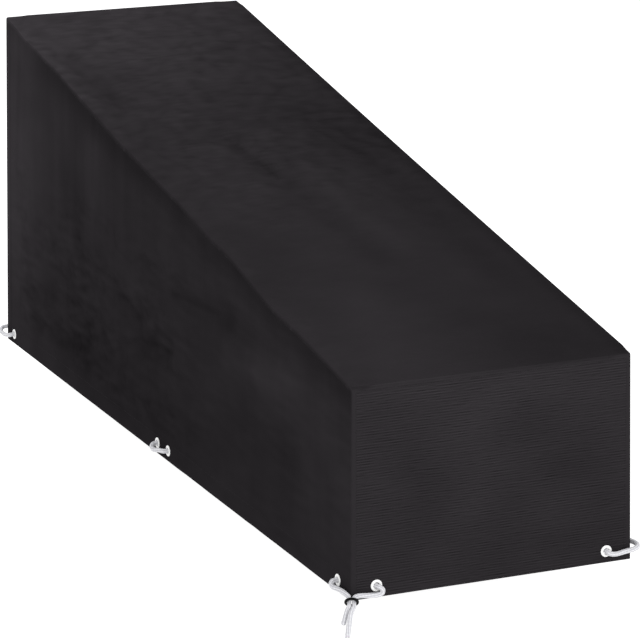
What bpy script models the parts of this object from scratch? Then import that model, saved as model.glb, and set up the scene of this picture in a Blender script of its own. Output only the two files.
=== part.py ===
"""Fitted cover for a reclining lounger: one straight slope from a tall back down to a low front.

Metres, +Z up, the low front towards -Y. The origin is under the top panel at mid length,
where the cover is held up. "up" and heights are measured from the hem, "out" from the cloth's
outer face, and "along" is X on the front and back walls and Y on the side walls.
"""

import math

import bmesh
import bpy
from mathutils import Matrix, Vector

# Driving dimensions.
LENGTH = 2.04
WIDTH = 0.60
BACK_HEIGHT = 0.802
FRONT_HEIGHT = 0.425
CLOTH = 0.0015
EDGE_RADIUS = 0.008
LAP = 0.011
GAP = 0.0003
CROWN = 0.006

# How much wider the hem is than the top, at the front and at the back of each side wall.
HEM_FLARE = {"left": (0.0034, 0.0145), "right": (0.0077, 0.0120)}
FRONT_FLARE = 0.0064
BACK_FLARE = 0.0075

# Eyelets and cord.
EYELET_UP = 0.024
EYELET_RADIUS = 0.012
EYELET_BORE = 0.0062
BARREL_RADIUS = 0.0074
EYELET_STEPS = 14
CORD_RADIUS = 0.0055
RING_RADIUS = 0.0115
RING_WIRE = 0.0017
SQUEEZE = 0.80

# Dips of the left top edge: place from front (0) to back (1), spread, depth.
LEFT_EDGE_DIPS = (
    (0.19, 0.050, 0.0085),
    (0.30, 0.035, -0.0050),
    (0.44, 0.040, -0.0040),
    (0.62, 0.045, 0.0050),
    (0.82, 0.040, -0.0030),
    (0.93, 0.025, 0.0045),
)
LEFT_EDGE_SAG = 0.0030
RIGHT_EDGE_SAG = 0.0042

# Folds of each panel: start along, start across, end along, end across, spread, rise.
# The top panel is read as X, Y and the walls as along, up.
FOLDS = {
    "top": (
        (-0.080, 0.220, -0.040, -0.100, 0.030, -0.0035),
        (-0.040, -0.100, 0.000, -0.500, 0.030, -0.0030),
        (0.030, -0.020, 0.070, -0.460, 0.032, 0.0035),
        (-0.242, 0.740, -0.222, 0.410, 0.032, -0.0040),
        (0.020, 0.910, 0.100, 0.900, 0.030, -0.0020),
        (0.190, 0.380, 0.215, -0.620, 0.050, -0.0040),
        (-0.120, -0.660, -0.170, -0.870, 0.045, 0.0030),
    ),
    "left": (
        (-0.100, 0.387, -0.410, 0.405, 0.030, -0.0045),
        (-0.410, 0.405, -0.700, 0.410, 0.032, -0.0035),
        (-0.410, 0.320, -0.570, 0.330, 0.035, 0.0040),
        (-0.570, 0.330, -0.800, 0.375, 0.035, 0.0035),
        (0.870, 0.150, 0.690, 0.195, 0.032, -0.0045),
        (0.272, 0.310, 0.110, 0.274, 0.032, -0.0045),
        (0.760, 0.085, 0.440, 0.140, 0.032, -0.0040),
        (0.110, 0.215, -0.060, 0.245, 0.032, -0.0045),
        (0.850, 0.680, 0.850, 0.330, 0.045, 0.0040),
        (0.635, 0.640, 0.640, 0.380, 0.040, 0.0040),
        (0.520, 0.610, 0.515, 0.360, 0.035, -0.0030),
        (0.395, 0.600, 0.400, 0.400, 0.038, 0.0035),
        (-0.520, 0.200, -0.720, 0.200, 0.090, -0.0050),
    ),
    "right": (
        (0.060, 0.400, 0.420, 0.330, 0.034, -0.0045),
        (-0.620, 0.370, -0.280, 0.300, 0.034, -0.0040),
        (0.760, 0.660, 0.750, 0.330, 0.045, 0.0040),
        (0.560, 0.600, 0.570, 0.320, 0.040, -0.0035),
        (0.880, 0.200, 0.620, 0.150, 0.035, -0.0040),
        (-0.200, 0.180, 0.080, 0.230, 0.040, 0.0040),
        (-0.800, 0.160, -0.560, 0.220, 0.060, -0.0045),
    ),
    "front": (
        (-0.170, 0.240, -0.140, 0.170, 0.045, -0.0030),
        (0.060, 0.300, 0.160, 0.220, 0.055, -0.0030),
        (0.120, 0.080, 0.220, 0.075, 0.030, 0.0020),
        (-0.050, 0.330, -0.040, 0.150, 0.060, 0.0020),
    ),
    "back": (
        (-0.120, 0.700, -0.150, 0.250, 0.060, -0.0045),
        (0.130, 0.640, 0.090, 0.300, 0.060, 0.0045),
        (-0.040, 0.220, 0.180, 0.170, 0.045, -0.0040),
    ),
}
FOLD_MARGIN = 0.035
HEM_MARGIN = 0.050

# Each eyelet with its wall and its place along that wall, in the order that the cord takes.
EYELETS = (
    ("eyelet_front_left", "front", -0.249),
    ("eyelet_front_right", "front", 0.251),
    ("eyelet_right_front", "right", -0.968),
    ("eyelet_right_mid_front", "right", -0.066),
    ("eyelet_right_mid_back", "right", -0.002),
    ("eyelet_right_back", "right", 0.971),
    ("eyelet_back_right", "back", 0.250),
    ("eyelet_back_left", "back", -0.250),
    ("eyelet_left_back", "left", 0.971),
    ("eyelet_left_mid_back", "left", -0.002),
    ("eyelet_left_mid_front", "left", -0.066),
    ("eyelet_left_front", "left", -0.968),
)

# The ring that gathers both cord ends in front of the front left corner.
RING_CENTRE = Vector((-0.3082, -1.0425, 0.0040))
RING_ACROSS = Vector((0.917, -0.399, 0.0))
RING_FACING = Vector((-0.399, -0.917, 0.0))
RING_TILT = math.radians(36)

# The cord's route. A wall's row gives along, up and out, and a free row gives X, Y and up.
# A ring's row gives the side of the ring, how far past its plane, and a lift.
LONG_TAIL = (
    ("free", -0.3262, -1.0610, -0.0729),
    ("free", -0.3220, -1.0600, -0.0399),
    ("free", -0.3158, -1.0572, -0.0130),
    ("ring", 1.0, 0.0095, 0.0),
    ("ring", 1.0, 0.0, 0.0),
    ("ring", 1.0, -0.0085, 0.0010),
)
RING_TO_FRONT = (
    ("front", -0.2900, 0.0110, 0.0085),
    ("front", -0.2680, 0.0088, 0.0082),
    ("front", -0.2510, 0.0078, 0.0094),
    ("front", -0.2420, 0.0108, 0.0108),
    ("front", -0.2405, 0.0170, 0.0112),
    ("front", -0.2445, 0.0220, 0.0096),
)
ROUND_FRONT_RIGHT = (
    ("front", 0.2550, 0.0208, 0.0100),
    ("front", 0.2700, 0.0180, 0.0090),
    ("front", 0.2894, 0.0200, 0.0080),
    ("free", 0.3075, -1.0360, 0.0230),
    ("free", 0.3205, -1.0290, 0.0250),
    ("free", 0.3245, -1.0150, 0.0265),
    ("right", -0.9900, 0.0262, 0.0125),
    ("right", -0.9730, 0.0246, 0.0100),
)
RIGHT_MIDDLE = (
    ("right", -0.0615, 0.0212, 0.0100),
    ("right", -0.0340, 0.0150, 0.0125),
    ("right", -0.0065, 0.0210, 0.0100),
)
ROUND_BACK_RIGHT = (
    ("right", 0.9760, 0.0218, 0.0100),
    ("right", 1.0080, 0.0186, 0.0095),
    ("free", 0.3194, 1.0258, 0.0185),
    ("free", 0.3100, 1.0352, 0.0185),
    ("back", 0.2800, 0.0188, 0.0096),
    ("back", 0.2550, 0.0218, 0.0100),
)
ROUND_BACK_LEFT = (
    ("back", -0.2550, 0.0232, 0.0100),
    ("back", -0.2860, 0.0255, 0.0100),
    ("free", -0.3090, 1.0388, 0.0272),
    ("free", -0.3225, 1.0400, 0.0245),
    ("free", -0.3290, 1.0310, 0.0182),
    ("left", 1.0090, 0.0150, 0.0125),
    ("left", 0.9900, 0.0175, 0.0112),
    ("left", 0.9755, 0.0218, 0.0098),
)
LEFT_MIDDLE = (
    ("left", -0.0020, 0.0228, 0.0108),
    ("left", -0.0032, 0.0190, 0.0144),
    ("left", -0.0090, 0.0158, 0.0158),
    ("left", -0.0200, 0.0150, 0.0145),
    ("left", -0.0390, 0.0190, 0.0115),
    ("left", -0.0605, 0.0230, 0.0100),
)
FRONT_TO_RING = (
    ("left", -0.9680, 0.0230, 0.0112),
    ("left", -0.9688, 0.0185, 0.0152),
    ("left", -0.9740, 0.0142, 0.0140),
    ("left", -0.9860, 0.0130, 0.0094),
    ("left", -1.0040, 0.0136, 0.0080),
    ("left", -1.0210, 0.0138, 0.0082),
)
SHORT_TAIL = (
    ("ring", -1.0, -0.0085, 0.0015),
    ("ring", -1.0, 0.0, 0.0),
    ("ring", -1.0, 0.0085, 0.0),
    ("free", -0.3190, -1.0462, -0.0110),
    ("free", -0.3292, -1.0485, -0.0385),
)
INSIDE_BEND = ((0.000, -0.0062), (0.008, -0.0125))
INSIDE_RUN_OUT = -0.0120
INSIDE_SAG = 0.008
OUTSIDE_START = 0.0056


def fraction(value, low, high):
    """A smooth step from 0 at low to 1 at high."""
    share = min(max((value - low) / (high - low), 0.0), 1.0)
    return share * share * (3.0 - 2.0 * share)


def slope_height(y):
    return FRONT_HEIGHT + (BACK_HEIGHT - FRONT_HEIGHT) * (y / LENGTH + 0.5)


def edge_dip(x, y):
    """How far the top surface hangs below the straight slope."""
    place = min(max(y / LENGTH + 0.5, 0.0), 1.0)
    share = min(max(x / WIDTH + 0.5, 0.0), 1.0)
    ends = math.sin(math.pi * place)
    left = LEFT_EDGE_SAG * ends
    for centre, spread, depth in LEFT_EDGE_DIPS:
        left += depth * math.exp(-(((place - centre) / spread) ** 2))
    right = RIGHT_EDGE_SAG * ends
    crown = CROWN * math.sin(math.pi * share) * math.sqrt(ends)
    return left * (1.0 - share) ** 2 + right * share - crown


def fold_rise(panel, along, across):
    """The sum of a panel's folds at one place."""
    here = Vector((along, across))
    total = 0.0
    for row in FOLDS[panel]:
        start = Vector(row[0:2])
        run = Vector(row[2:4]) - start
        share = min(max((here - start).dot(run) / run.length_squared, 0.0), 1.0)
        distance = (here - start - run * share).length
        total += row[5] * math.exp(-((distance / row[4]) ** 2))
    return total


def drape(point):
    """Moves a point of the plain wedge to the hung shape: a wider hem and dipping top edges."""
    x, y, z = point
    level = min(max(z / slope_height(y), 0.0), 1.0)
    side = "left" if x < 0.0 else "right"
    front, back = HEM_FLARE[side]
    place = min(max(y / LENGTH + 0.5, 0.0), 1.0)
    side_flare = front + (back - front) * place
    end_flare = FRONT_FLARE if y < 0.0 else BACK_FLARE
    widen = 1.0 + (1.0 - level) * side_flare / (WIDTH / 2)
    lengthen = 1.0 + (1.0 - level) * end_flare / (LENGTH / 2)
    return Vector((x * widen, y * lengthen, z - edge_dip(x, y) * level * level))


def wall_corner(wall, along, up):
    """A point of the plain wedge on one wall."""
    if wall == "left":
        return Vector((-WIDTH / 2, along, up))
    if wall == "right":
        return Vector((WIDTH / 2, along, up))
    if wall == "front":
        return Vector((along, -LENGTH / 2, up))
    return Vector((along, LENGTH / 2, up))


OUTWARD = {
    "left": Vector((-1.0, 0.0, 0.0)),
    "right": Vector((1.0, 0.0, 0.0)),
    "front": Vector((0.0, -1.0, 0.0)),
    "back": Vector((0.0, 1.0, 0.0)),
    "top": Vector((0.0, 0.0, 1.0)),
}


def wall_frame(wall, along, up):
    """A point on a hung wall's outer face, with the outward normal there."""
    step = 0.002
    first = drape(wall_corner(wall, along, up))
    reached = first.x if wall in ("front", "back") else first.y
    plain = along * along / reached if reached else along
    here = drape(wall_corner(wall, plain, up))
    sideways = drape(wall_corner(wall, plain + step, up)) - here
    upwards = drape(wall_corner(wall, plain, up + step)) - here
    normal = sideways.cross(upwards).normalized()
    if normal.dot(OUTWARD[wall]) < 0.0:
        normal.negate()
    return here, normal


def spot(wall, along, up, out=0.0):
    here, normal = wall_frame(wall, along, up)
    return here + normal * out


MOUNT_UP = slope_height(0.0) - edge_dip(0.0, 0.0) + fold_rise("top", 0.0, 0.0) - CLOTH


def make_material(name, colour, roughness, metallic=0.0):
    material = bpy.data.materials.new(name)
    material.use_nodes = True
    shader = material.node_tree.nodes["Principled BSDF"]
    shader.inputs["Base Color"].default_value = (*colour, 1.0)
    shader.inputs["Roughness"].default_value = roughness
    shader.inputs["Metallic"].default_value = metallic
    return material


def add_object(name, data, material, holder):
    """Links an object under the holder, which brings the hem's zero down from the origin."""
    data.materials.append(material)
    piece = bpy.data.objects.new(name, data)
    bpy.context.scene.collection.objects.link(piece)
    piece.parent = holder
    return piece


def mesh_from(name, bm):
    mesh = bpy.data.meshes.new(name)
    bm.to_mesh(mesh)
    bm.free()
    return mesh


def shade(mesh):
    mesh.shade_smooth()
    mesh.set_sharp_from_angle(angle=math.radians(35))


def turn_outward(bm, outward):
    """Makes the sheet's faces look to its outer side."""
    bmesh.ops.recalc_face_normals(bm, faces=bm.faces)
    facing = sum((face.normal * face.calc_area() for face in bm.faces), Vector())
    if facing.dot(outward) < 0.0:
        bmesh.ops.reverse_faces(bm, faces=bm.faces)


def round_edges(bm, edges):
    bmesh.ops.bevel(
        bm,
        geom=edges,
        offset=EDGE_RADIUS,
        offset_type="OFFSET",
        affect="EDGES",
        segments=3,
        profile=0.5,
        material=-1,
    )


def top_sheet():
    """A lid: a flat grid with its rim turned down and its edges rounded, then tilted and draped."""
    bm = bmesh.new()
    bmesh.ops.create_grid(bm, x_segments=12, y_segments=44, size=0.5)
    for vert in bm.verts:
        vert.co = Vector((vert.co.x * WIDTH, vert.co.y * LENGTH, 0.0))
    rim = [edge for edge in bm.edges if edge.is_boundary]
    made = bmesh.ops.extrude_edge_only(bm, edges=rim)["geom"]
    for vert in made:
        if isinstance(vert, bmesh.types.BMVert):
            vert.co.z -= LAP
    corners = [
        edge
        for edge in bm.edges
        if all(abs(v.co.x) > WIDTH / 2 - GAP and abs(v.co.y) > LENGTH / 2 - GAP for v in edge.verts)
    ]
    round_edges(bm, rim + corners)
    turn_outward(bm, OUTWARD["top"])
    for vert in bm.verts:
        x, y, drop = vert.co
        inside = min(WIDTH / 2 - abs(x), LENGTH / 2 - abs(y))
        rise = fold_rise("top", x, y) * fraction(inside, 0.0, FOLD_MARGIN)
        vert.co = drape(Vector((x, y, slope_height(y) + drop))) + OUTWARD["top"] * rise
    return bm


def wall_sheet(wall):
    """A wall: a flat grid, its upright edges turned round the corners on the side walls."""
    is_side = wall in ("left", "right")
    columns, rows = (44, 12) if is_side else (10, 10 if wall == "front" else 14)
    half = LENGTH / 2 if is_side else WIDTH / 2 - LAP - GAP
    bm = bmesh.new()
    bmesh.ops.create_grid(bm, x_segments=columns, y_segments=rows, size=0.5)
    for vert in bm.verts:
        vert.co = wall_corner(wall, vert.co.x * 2 * half, vert.co.y + 0.5)
    if is_side:
        uprights = [
            edge
            for edge in bm.edges
            if edge.is_boundary and all(abs(vert.co.y) > half - GAP for vert in edge.verts)
        ]
        made = bmesh.ops.extrude_edge_only(bm, edges=uprights)["geom"]
        for vert in made:
            if isinstance(vert, bmesh.types.BMVert):
                vert.co -= OUTWARD[wall] * LAP
        round_edges(bm, uprights)
    turn_outward(bm, OUTWARD[wall])
    for vert in bm.verts:
        x, y, share = vert.co
        along = y if is_side else x
        top = slope_height(y) - LAP - GAP
        up = top * share
        inside = min(half - abs(along), top - up)
        fade = fraction(inside, 0.0, FOLD_MARGIN) * fraction(up, HEM_MARGIN, 2 * HEM_MARGIN)
        rise = fold_rise(wall, along, up) * fade
        vert.co = drape(Vector((x, y, up))) + OUTWARD[wall] * rise
    return bm


def thicken(piece):
    """Gives a sheet the cloth's thickness, inwards."""
    solid = piece.modifiers.new("cloth", "SOLIDIFY")
    solid.thickness = CLOTH
    solid.offset = -1.0
    solid.use_even_offset = True


def upright_matrix(place, normal):
    """Puts a shape that is turned round Z onto a wall, with +Z outward."""
    return Matrix.Translation(place) @ normal.to_track_quat("Z", "Y").to_matrix().to_4x4()


def cut_holes(piece, wall, holder):
    """Punches the eyelets' holes through one wall with a single cutter."""
    places = [row for row in EYELETS if row[1] == wall]
    bm = bmesh.new()
    for _, _, along in places:
        bmesh.ops.create_cone(
            bm,
            cap_ends=True,
            segments=EYELET_STEPS,
            radius1=BARREL_RADIUS + GAP,
            radius2=BARREL_RADIUS + GAP,
            depth=12 * CLOTH,
            matrix=upright_matrix(*wall_frame(wall, along, EYELET_UP)),
        )
    cutter = bpy.data.objects.new(f"cutter_{wall}", mesh_from(f"cutter_{wall}", bm))
    bpy.context.scene.collection.objects.link(cutter)
    cutter.parent = holder
    cutter.hide_render = True
    cutter.display_type = "WIRE"
    cut = piece.modifiers.new("eyelet holes", "BOOLEAN")
    cut.operation = "DIFFERENCE"
    cut.solver = "EXACT"
    cut.object = cutter


def eyelet_mesh():
    """A turned eyelet: a domed flange outside, a barrel through the cloth and a washer inside."""
    under = -CLOTH - GAP
    profile = (
        (EYELET_BORE, under - 0.0011),
        (EYELET_BORE, 0.0012),
        (EYELET_BORE + 0.0010, 0.0021),
        (EYELET_RADIUS - 0.0022, 0.0020),
        (EYELET_RADIUS, GAP),
        (BARREL_RADIUS, GAP),
        (BARREL_RADIUS, under),
        (EYELET_RADIUS - 0.0010, under),
        (EYELET_RADIUS - 0.0010, under - 0.0011),
    )
    bm = bmesh.new()
    verts = [bm.verts.new((radius, 0.0, out)) for radius, out in profile]
    edges = [bm.edges.new((verts[i - 1], verts[i])) for i in range(len(verts))]
    bmesh.ops.spin(
        bm,
        geom=verts + edges,
        axis=(0.0, 0.0, 1.0),
        cent=(0.0, 0.0, 0.0),
        angle=math.tau,
        steps=EYELET_STEPS,
        use_merge=True,
    )
    bmesh.ops.remove_doubles(bm, verts=bm.verts, dist=0.00001)
    bmesh.ops.recalc_face_normals(bm, faces=bm.faces)
    mesh = mesh_from("eyelet", bm)
    shade(mesh)
    return mesh


def ring_mesh():
    """A plain round ring, lying flat round Z."""
    bm = bmesh.new()
    turn = Matrix.Translation((RING_RADIUS, 0.0, 0.0)) @ Matrix.Rotation(math.pi / 2, 4, "X")
    made = bmesh.ops.create_circle(bm, segments=7, radius=RING_WIRE, matrix=turn)
    edges = list({edge for vert in made["verts"] for edge in vert.link_edges})
    bmesh.ops.spin(
        bm,
        geom=made["verts"] + edges,
        axis=(0.0, 0.0, 1.0),
        cent=(0.0, 0.0, 0.0),
        angle=math.tau,
        steps=18,
        use_merge=True,
    )
    bmesh.ops.remove_doubles(bm, verts=bm.verts, dist=0.00001)
    bmesh.ops.recalc_face_normals(bm, faces=bm.faces)
    mesh = mesh_from("cord_ring", bm)
    shade(mesh)
    return mesh


def ring_normal():
    """The ring's axis, on the way of the cord's ends: outward from the corner and down."""
    return RING_FACING * math.cos(RING_TILT) - OUTWARD["top"] * math.sin(RING_TILT)


def row_point(row):
    """One row of the route as (point, radius factor)."""
    kind, first, second, third = row
    if kind == "free":
        return Vector((first, second, third)), 1.0
    if kind == "ring":
        aside = RING_ACROSS * first * (CORD_RADIUS * SQUEEZE + GAP)
        lift = OUTWARD["top"] * third
        return RING_CENTRE + aside + ring_normal() * second + lift, SQUEEZE
    return spot(kind, first, second, third), 1.0


def eyelet_pass(wall, along, towards):
    """From the outside straight in through an eyelet, then round towards its neighbour."""
    points = [spot(wall, along, EYELET_UP, OUTSIDE_START)]
    for shift, out in INSIDE_BEND:
        points.append(spot(wall, along + towards * shift, EYELET_UP, out))
    return [(point, 1.0) for point in points]


def inside_run(first, second):
    """Out of one eyelet's inner side, along a wall and up to the next one: both passes and the sag."""
    _, wall, start = first
    _, _, end = second
    towards = 1.0 if end > start else -1.0
    middle = spot(wall, (start + end) / 2, EYELET_UP - INSIDE_SAG, INSIDE_RUN_OUT)
    leaving = eyelet_pass(wall, end, -towards)
    return eyelet_pass(wall, start, towards) + [(middle, 1.0)] + leaving[::-1]


def cord_route():
    """The whole cord from the long tail's end, round the hem, to the short tail's end."""
    outside = (
        LONG_TAIL + RING_TO_FRONT,
        ROUND_FRONT_RIGHT,
        RIGHT_MIDDLE,
        ROUND_BACK_RIGHT,
        ROUND_BACK_LEFT,
        LEFT_MIDDLE,
        FRONT_TO_RING + SHORT_TAIL,
    )
    route = [row_point(row) for row in outside[0]]
    for number, rows in enumerate(outside[1:]):
        route += inside_run(EYELETS[2 * number], EYELETS[2 * number + 1])
        route += [row_point(row) for row in rows]
    return route


def cord_curve():
    curve = bpy.data.curves.new("draw_cord", "CURVE")
    curve.dimensions = "3D"
    curve.bevel_depth = CORD_RADIUS
    curve.bevel_resolution = 2
    curve.use_fill_caps = True
    route = cord_route()
    spline = curve.splines.new("POLY")
    spline.points.add(len(route) - 1)
    for target, (point, factor) in zip(spline.points, route):
        target.co = (*point, 1.0)
        target.radius = factor
    return curve


def main():
    for old in list(bpy.data.objects):
        bpy.data.objects.remove(old, do_unlink=True)

    cloth = make_material("black woven sheet", (0.032, 0.030, 0.032), 0.62)
    white = make_material("white eyelet", (0.86, 0.86, 0.86), 0.35)
    rope = make_material("white rope", (0.78, 0.78, 0.79), 0.85)
    black = make_material("black ring", (0.012, 0.012, 0.012), 0.5)

    holder = bpy.data.objects.new("cover", None)
    bpy.context.scene.collection.objects.link(holder)
    holder.location.z = -MOUNT_UP

    top = add_object("top_panel", mesh_from("top_panel", top_sheet()), cloth, holder)
    shade(top.data)
    thicken(top)
    for wall in ("front", "back", "left", "right"):
        name = f"{wall}_panel"
        panel = add_object(name, mesh_from(name, wall_sheet(wall)), cloth, holder)
        shade(panel.data)
        thicken(panel)
        cut_holes(panel, wall, holder)

    for name, wall, along in EYELETS:
        eyelet = add_object(name, eyelet_mesh(), white, holder)
        eyelet.matrix_local = upright_matrix(*wall_frame(wall, along, EYELET_UP))

    ring = add_object("cord_ring", ring_mesh(), black, holder)
    ring.matrix_local = upright_matrix(RING_CENTRE, ring_normal())
    add_object("draw_cord", cord_curve(), rope, holder)


main()
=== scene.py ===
# %% [markdown]
# # Lounge chair cover
# A fitted cover for outdoor furniture: one long slope from a tall back to a low
# front, four walls, twelve eyelets near the hem and one white draw cord. Each
# solid of the frame is replaced by a finer piece of the same shape, with a
# material that is made from nodes. All lengths are metres.

import math

import bmesh
import bpy
from mathutils import Matrix, Vector, noise


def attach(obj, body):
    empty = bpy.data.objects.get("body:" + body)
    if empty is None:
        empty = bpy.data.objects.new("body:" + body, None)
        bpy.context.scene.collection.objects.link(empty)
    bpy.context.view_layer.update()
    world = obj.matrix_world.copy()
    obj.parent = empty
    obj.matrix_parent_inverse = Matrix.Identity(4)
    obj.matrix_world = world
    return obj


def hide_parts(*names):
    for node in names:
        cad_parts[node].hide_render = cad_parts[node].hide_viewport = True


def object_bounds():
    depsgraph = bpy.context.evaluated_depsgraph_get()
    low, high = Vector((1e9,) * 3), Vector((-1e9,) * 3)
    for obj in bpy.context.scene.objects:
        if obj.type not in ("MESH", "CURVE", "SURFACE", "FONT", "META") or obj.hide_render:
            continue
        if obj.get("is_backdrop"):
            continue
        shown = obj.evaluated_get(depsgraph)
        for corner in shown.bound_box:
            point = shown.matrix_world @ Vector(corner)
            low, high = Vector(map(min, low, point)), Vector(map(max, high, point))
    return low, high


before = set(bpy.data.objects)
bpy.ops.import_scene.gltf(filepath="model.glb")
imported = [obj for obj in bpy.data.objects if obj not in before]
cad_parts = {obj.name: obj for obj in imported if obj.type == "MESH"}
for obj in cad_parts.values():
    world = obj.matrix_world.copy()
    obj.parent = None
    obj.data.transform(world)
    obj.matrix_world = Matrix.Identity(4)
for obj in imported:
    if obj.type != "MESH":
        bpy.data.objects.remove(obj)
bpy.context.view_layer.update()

# %% [markdown]
# ## Camera
# The camera stands to the front left of the cover, about 7 m away, and looks
# down at it by 15 degrees. Its place, turn and lens were worked out from the
# seven corners that show, so the picture has the right perspective.

# %% The camera
CAMERA_PLACE = (-2.729, -6.448, 1.565)
CAMERA_TURN = (74.74, 0.0, -23.54)
CAMERA_LENS = 184.88
SENSOR_WIDTH = 36.0


def in_scene(name, data):
    """A new object in the scene, at the origin. Its data takes its name."""
    data.name = name
    added = bpy.data.objects.new(name, data)
    bpy.context.scene.collection.objects.link(added)
    return added


view_data = bpy.data.cameras.new("view")
view_data.sensor_width = SENSOR_WIDTH
view_data.lens = CAMERA_LENS
view_data.clip_end = 100.0
camera = in_scene("studio camera", view_data)
camera.location = CAMERA_PLACE
camera.rotation_euler = [math.radians(angle) for angle in CAMERA_TURN]
bpy.context.scene.camera = camera
print("camera at", CAMERA_PLACE)

# %% [markdown]
# ## The cover's shape
# The cover is a wedge that was cut to size and then hung. A few driving sizes
# give the plain wedge. The function drape then lets it hang: the hem stands
# wider than the top, and the long edges dip between the places that hold them
# up. Every piece goes through this one function, so they stay together.

# %% Driving sizes
LENGTH = 2.04
WIDTH = 0.6
BACK_HEIGHT = 0.802
FRONT_HEIGHT = 0.425
CLOTH = 0.0015
EDGE_RADIUS = 0.008
LAP = 0.011
GAP = 0.0003
CROWN = 0.006

# How much wider the hem is than the top, at the front and back of each side.
HEM_FLARE = {"left": (0.0034, 0.0145), "right": (0.0077, 0.012)}
FRONT_FLARE = 0.0064
BACK_FLARE = 0.0075

# Dips of the left top edge: place from front to back, spread, depth.
LEFT_EDGE_DIPS = (
    (0.19, 0.05, 0.0085),
    (0.3, 0.035, -0.005),
    (0.44, 0.04, -0.004),
    (0.62, 0.045, 0.005),
    (0.82, 0.04, -0.003),
    (0.93, 0.025, 0.0045),
)
LEFT_EDGE_SAG = 0.003
RIGHT_EDGE_SAG = 0.0042

# %% The slope's height and the dip of its edges
def clamp(share):
    return min(max(share, 0.0), 1.0)


def fraction(value, low, high):
    """A smooth step from 0 at low to 1 at high."""
    share = clamp((value - low) / (high - low))
    return share * share * (3.0 - 2.0 * share)


def hump(value, centre, spread):
    """A soft bump: 1 at its centre and near 0 two spreads away."""
    return math.exp(-(((value - centre) / spread) ** 2))


def slope_height(y):
    return FRONT_HEIGHT + (BACK_HEIGHT - FRONT_HEIGHT) * (y / LENGTH + 0.5)


def edge_dip(x, y):
    """How far the top surface hangs below the straight slope."""
    place, share = clamp(y / LENGTH + 0.5), clamp(x / WIDTH + 0.5)
    ends = math.sin(math.pi * place)
    left = LEFT_EDGE_SAG * ends
    for centre, spread, depth in LEFT_EDGE_DIPS:
        left += depth * hump(place, centre, spread)
    right = RIGHT_EDGE_SAG * ends
    crown = CROWN * math.sin(math.pi * share) * math.sqrt(ends)
    return left * (1.0 - share) ** 2 + right * share - crown


print("height at the back", slope_height(LENGTH / 2))

# %% Hanging the wedge
def drape(point):
    """Hangs a point of the plain wedge: a wider hem and dipping top edges."""
    x, y, z = point
    level = clamp(z / slope_height(y))
    front, back = HEM_FLARE["left" if x < 0.0 else "right"]
    side_flare = front + (back - front) * clamp(y / LENGTH + 0.5)
    end_flare = FRONT_FLARE if y < 0.0 else BACK_FLARE
    widen = 1.0 + (1.0 - level) * side_flare / (WIDTH / 2)
    lengthen = 1.0 + (1.0 - level) * end_flare / (LENGTH / 2)
    return Vector((x * widen, y * lengthen, z - edge_dip(x, y) * level * level))


OUTWARD = {
    "left": Vector((-1, 0, 0)),
    "right": Vector((1, 0, 0)),
    "front": Vector((0, -1, 0)),
    "back": Vector((0, 1, 0)),
    "top": Vector((0, 0, 1)),
}
SIDES = ("left", "right")


def wall_corner(wall, along, up):
    """A point of the plain wedge on one wall."""
    out = OUTWARD[wall]
    return Vector((out.x * WIDTH / 2 or along, out.y * LENGTH / 2 or along, up))


# %% A place on a wall
PROBE = 0.002  # neighbours this far away give a direction on the cloth


def wall_frame(wall, along, up):
    """A point on a hung wall's outer face, with the outward normal there."""
    first = drape(wall_corner(wall, along, up))
    reached = first.y if wall in SIDES else first.x
    plain = along * along / reached if reached else along
    here = drape(wall_corner(wall, plain, up))
    sideways = drape(wall_corner(wall, plain + PROBE, up)) - here
    upwards = drape(wall_corner(wall, plain, up + PROBE)) - here
    normal = sideways.cross(upwards).normalized()
    if normal.dot(OUTWARD[wall]) < 0.0:
        normal.negate()
    return here, normal


def spot(wall, along, up, out=0.0):
    here, normal = wall_frame(wall, along, up)
    return here + normal * out


print("hem at the left front", spot("left", -1.0, 0.0))

# %% [markdown]
# ## Draw cord
# The draw cord is one soft knitted rope, 11 mm thick. It enters an eyelet,
# runs along the inner side of the wall and comes out at the next one, and both
# ends hang from a ring at the front left corner. A curve with a round bevel
# would be quick, but this cord shows grey lines between its columns of
# stitches, so a grid is rolled round the line of the rope.

# %% Eyelets and cord sizes
EYELET_UP = 0.024
EYELET_RADIUS = 0.012
EYELET_BORE = 0.0062
BARREL_RADIUS = 0.0074
CORD_RADIUS = 0.0055
RING_RADIUS = 0.0115
SQUEEZE = 0.8

# Each eyelet's wall, its name there and its place along, in the cord's order.
EYELETS = (
    ("front", "left", -0.249),
    ("front", "right", 0.251),
    ("right", "front", -0.968),
    ("right", "mid_front", -0.066),
    ("right", "mid_back", -0.002),
    ("right", "back", 0.971),
    ("back", "right", 0.25),
    ("back", "left", -0.25),
    ("left", "back", 0.971),
    ("left", "mid_back", -0.002),
    ("left", "mid_front", -0.066),
    ("left", "front", -0.968),
)

# The ring that gathers both cord ends at the front left corner.
RING_CENTRE = Vector((-0.3082, -1.0425, 0.004))
RING_ACROSS = Vector((0.917, -0.399, 0.0))
RING_FACING = Vector((-0.399, -0.917, 0.0))
RING_TILT = math.radians(36)

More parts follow.
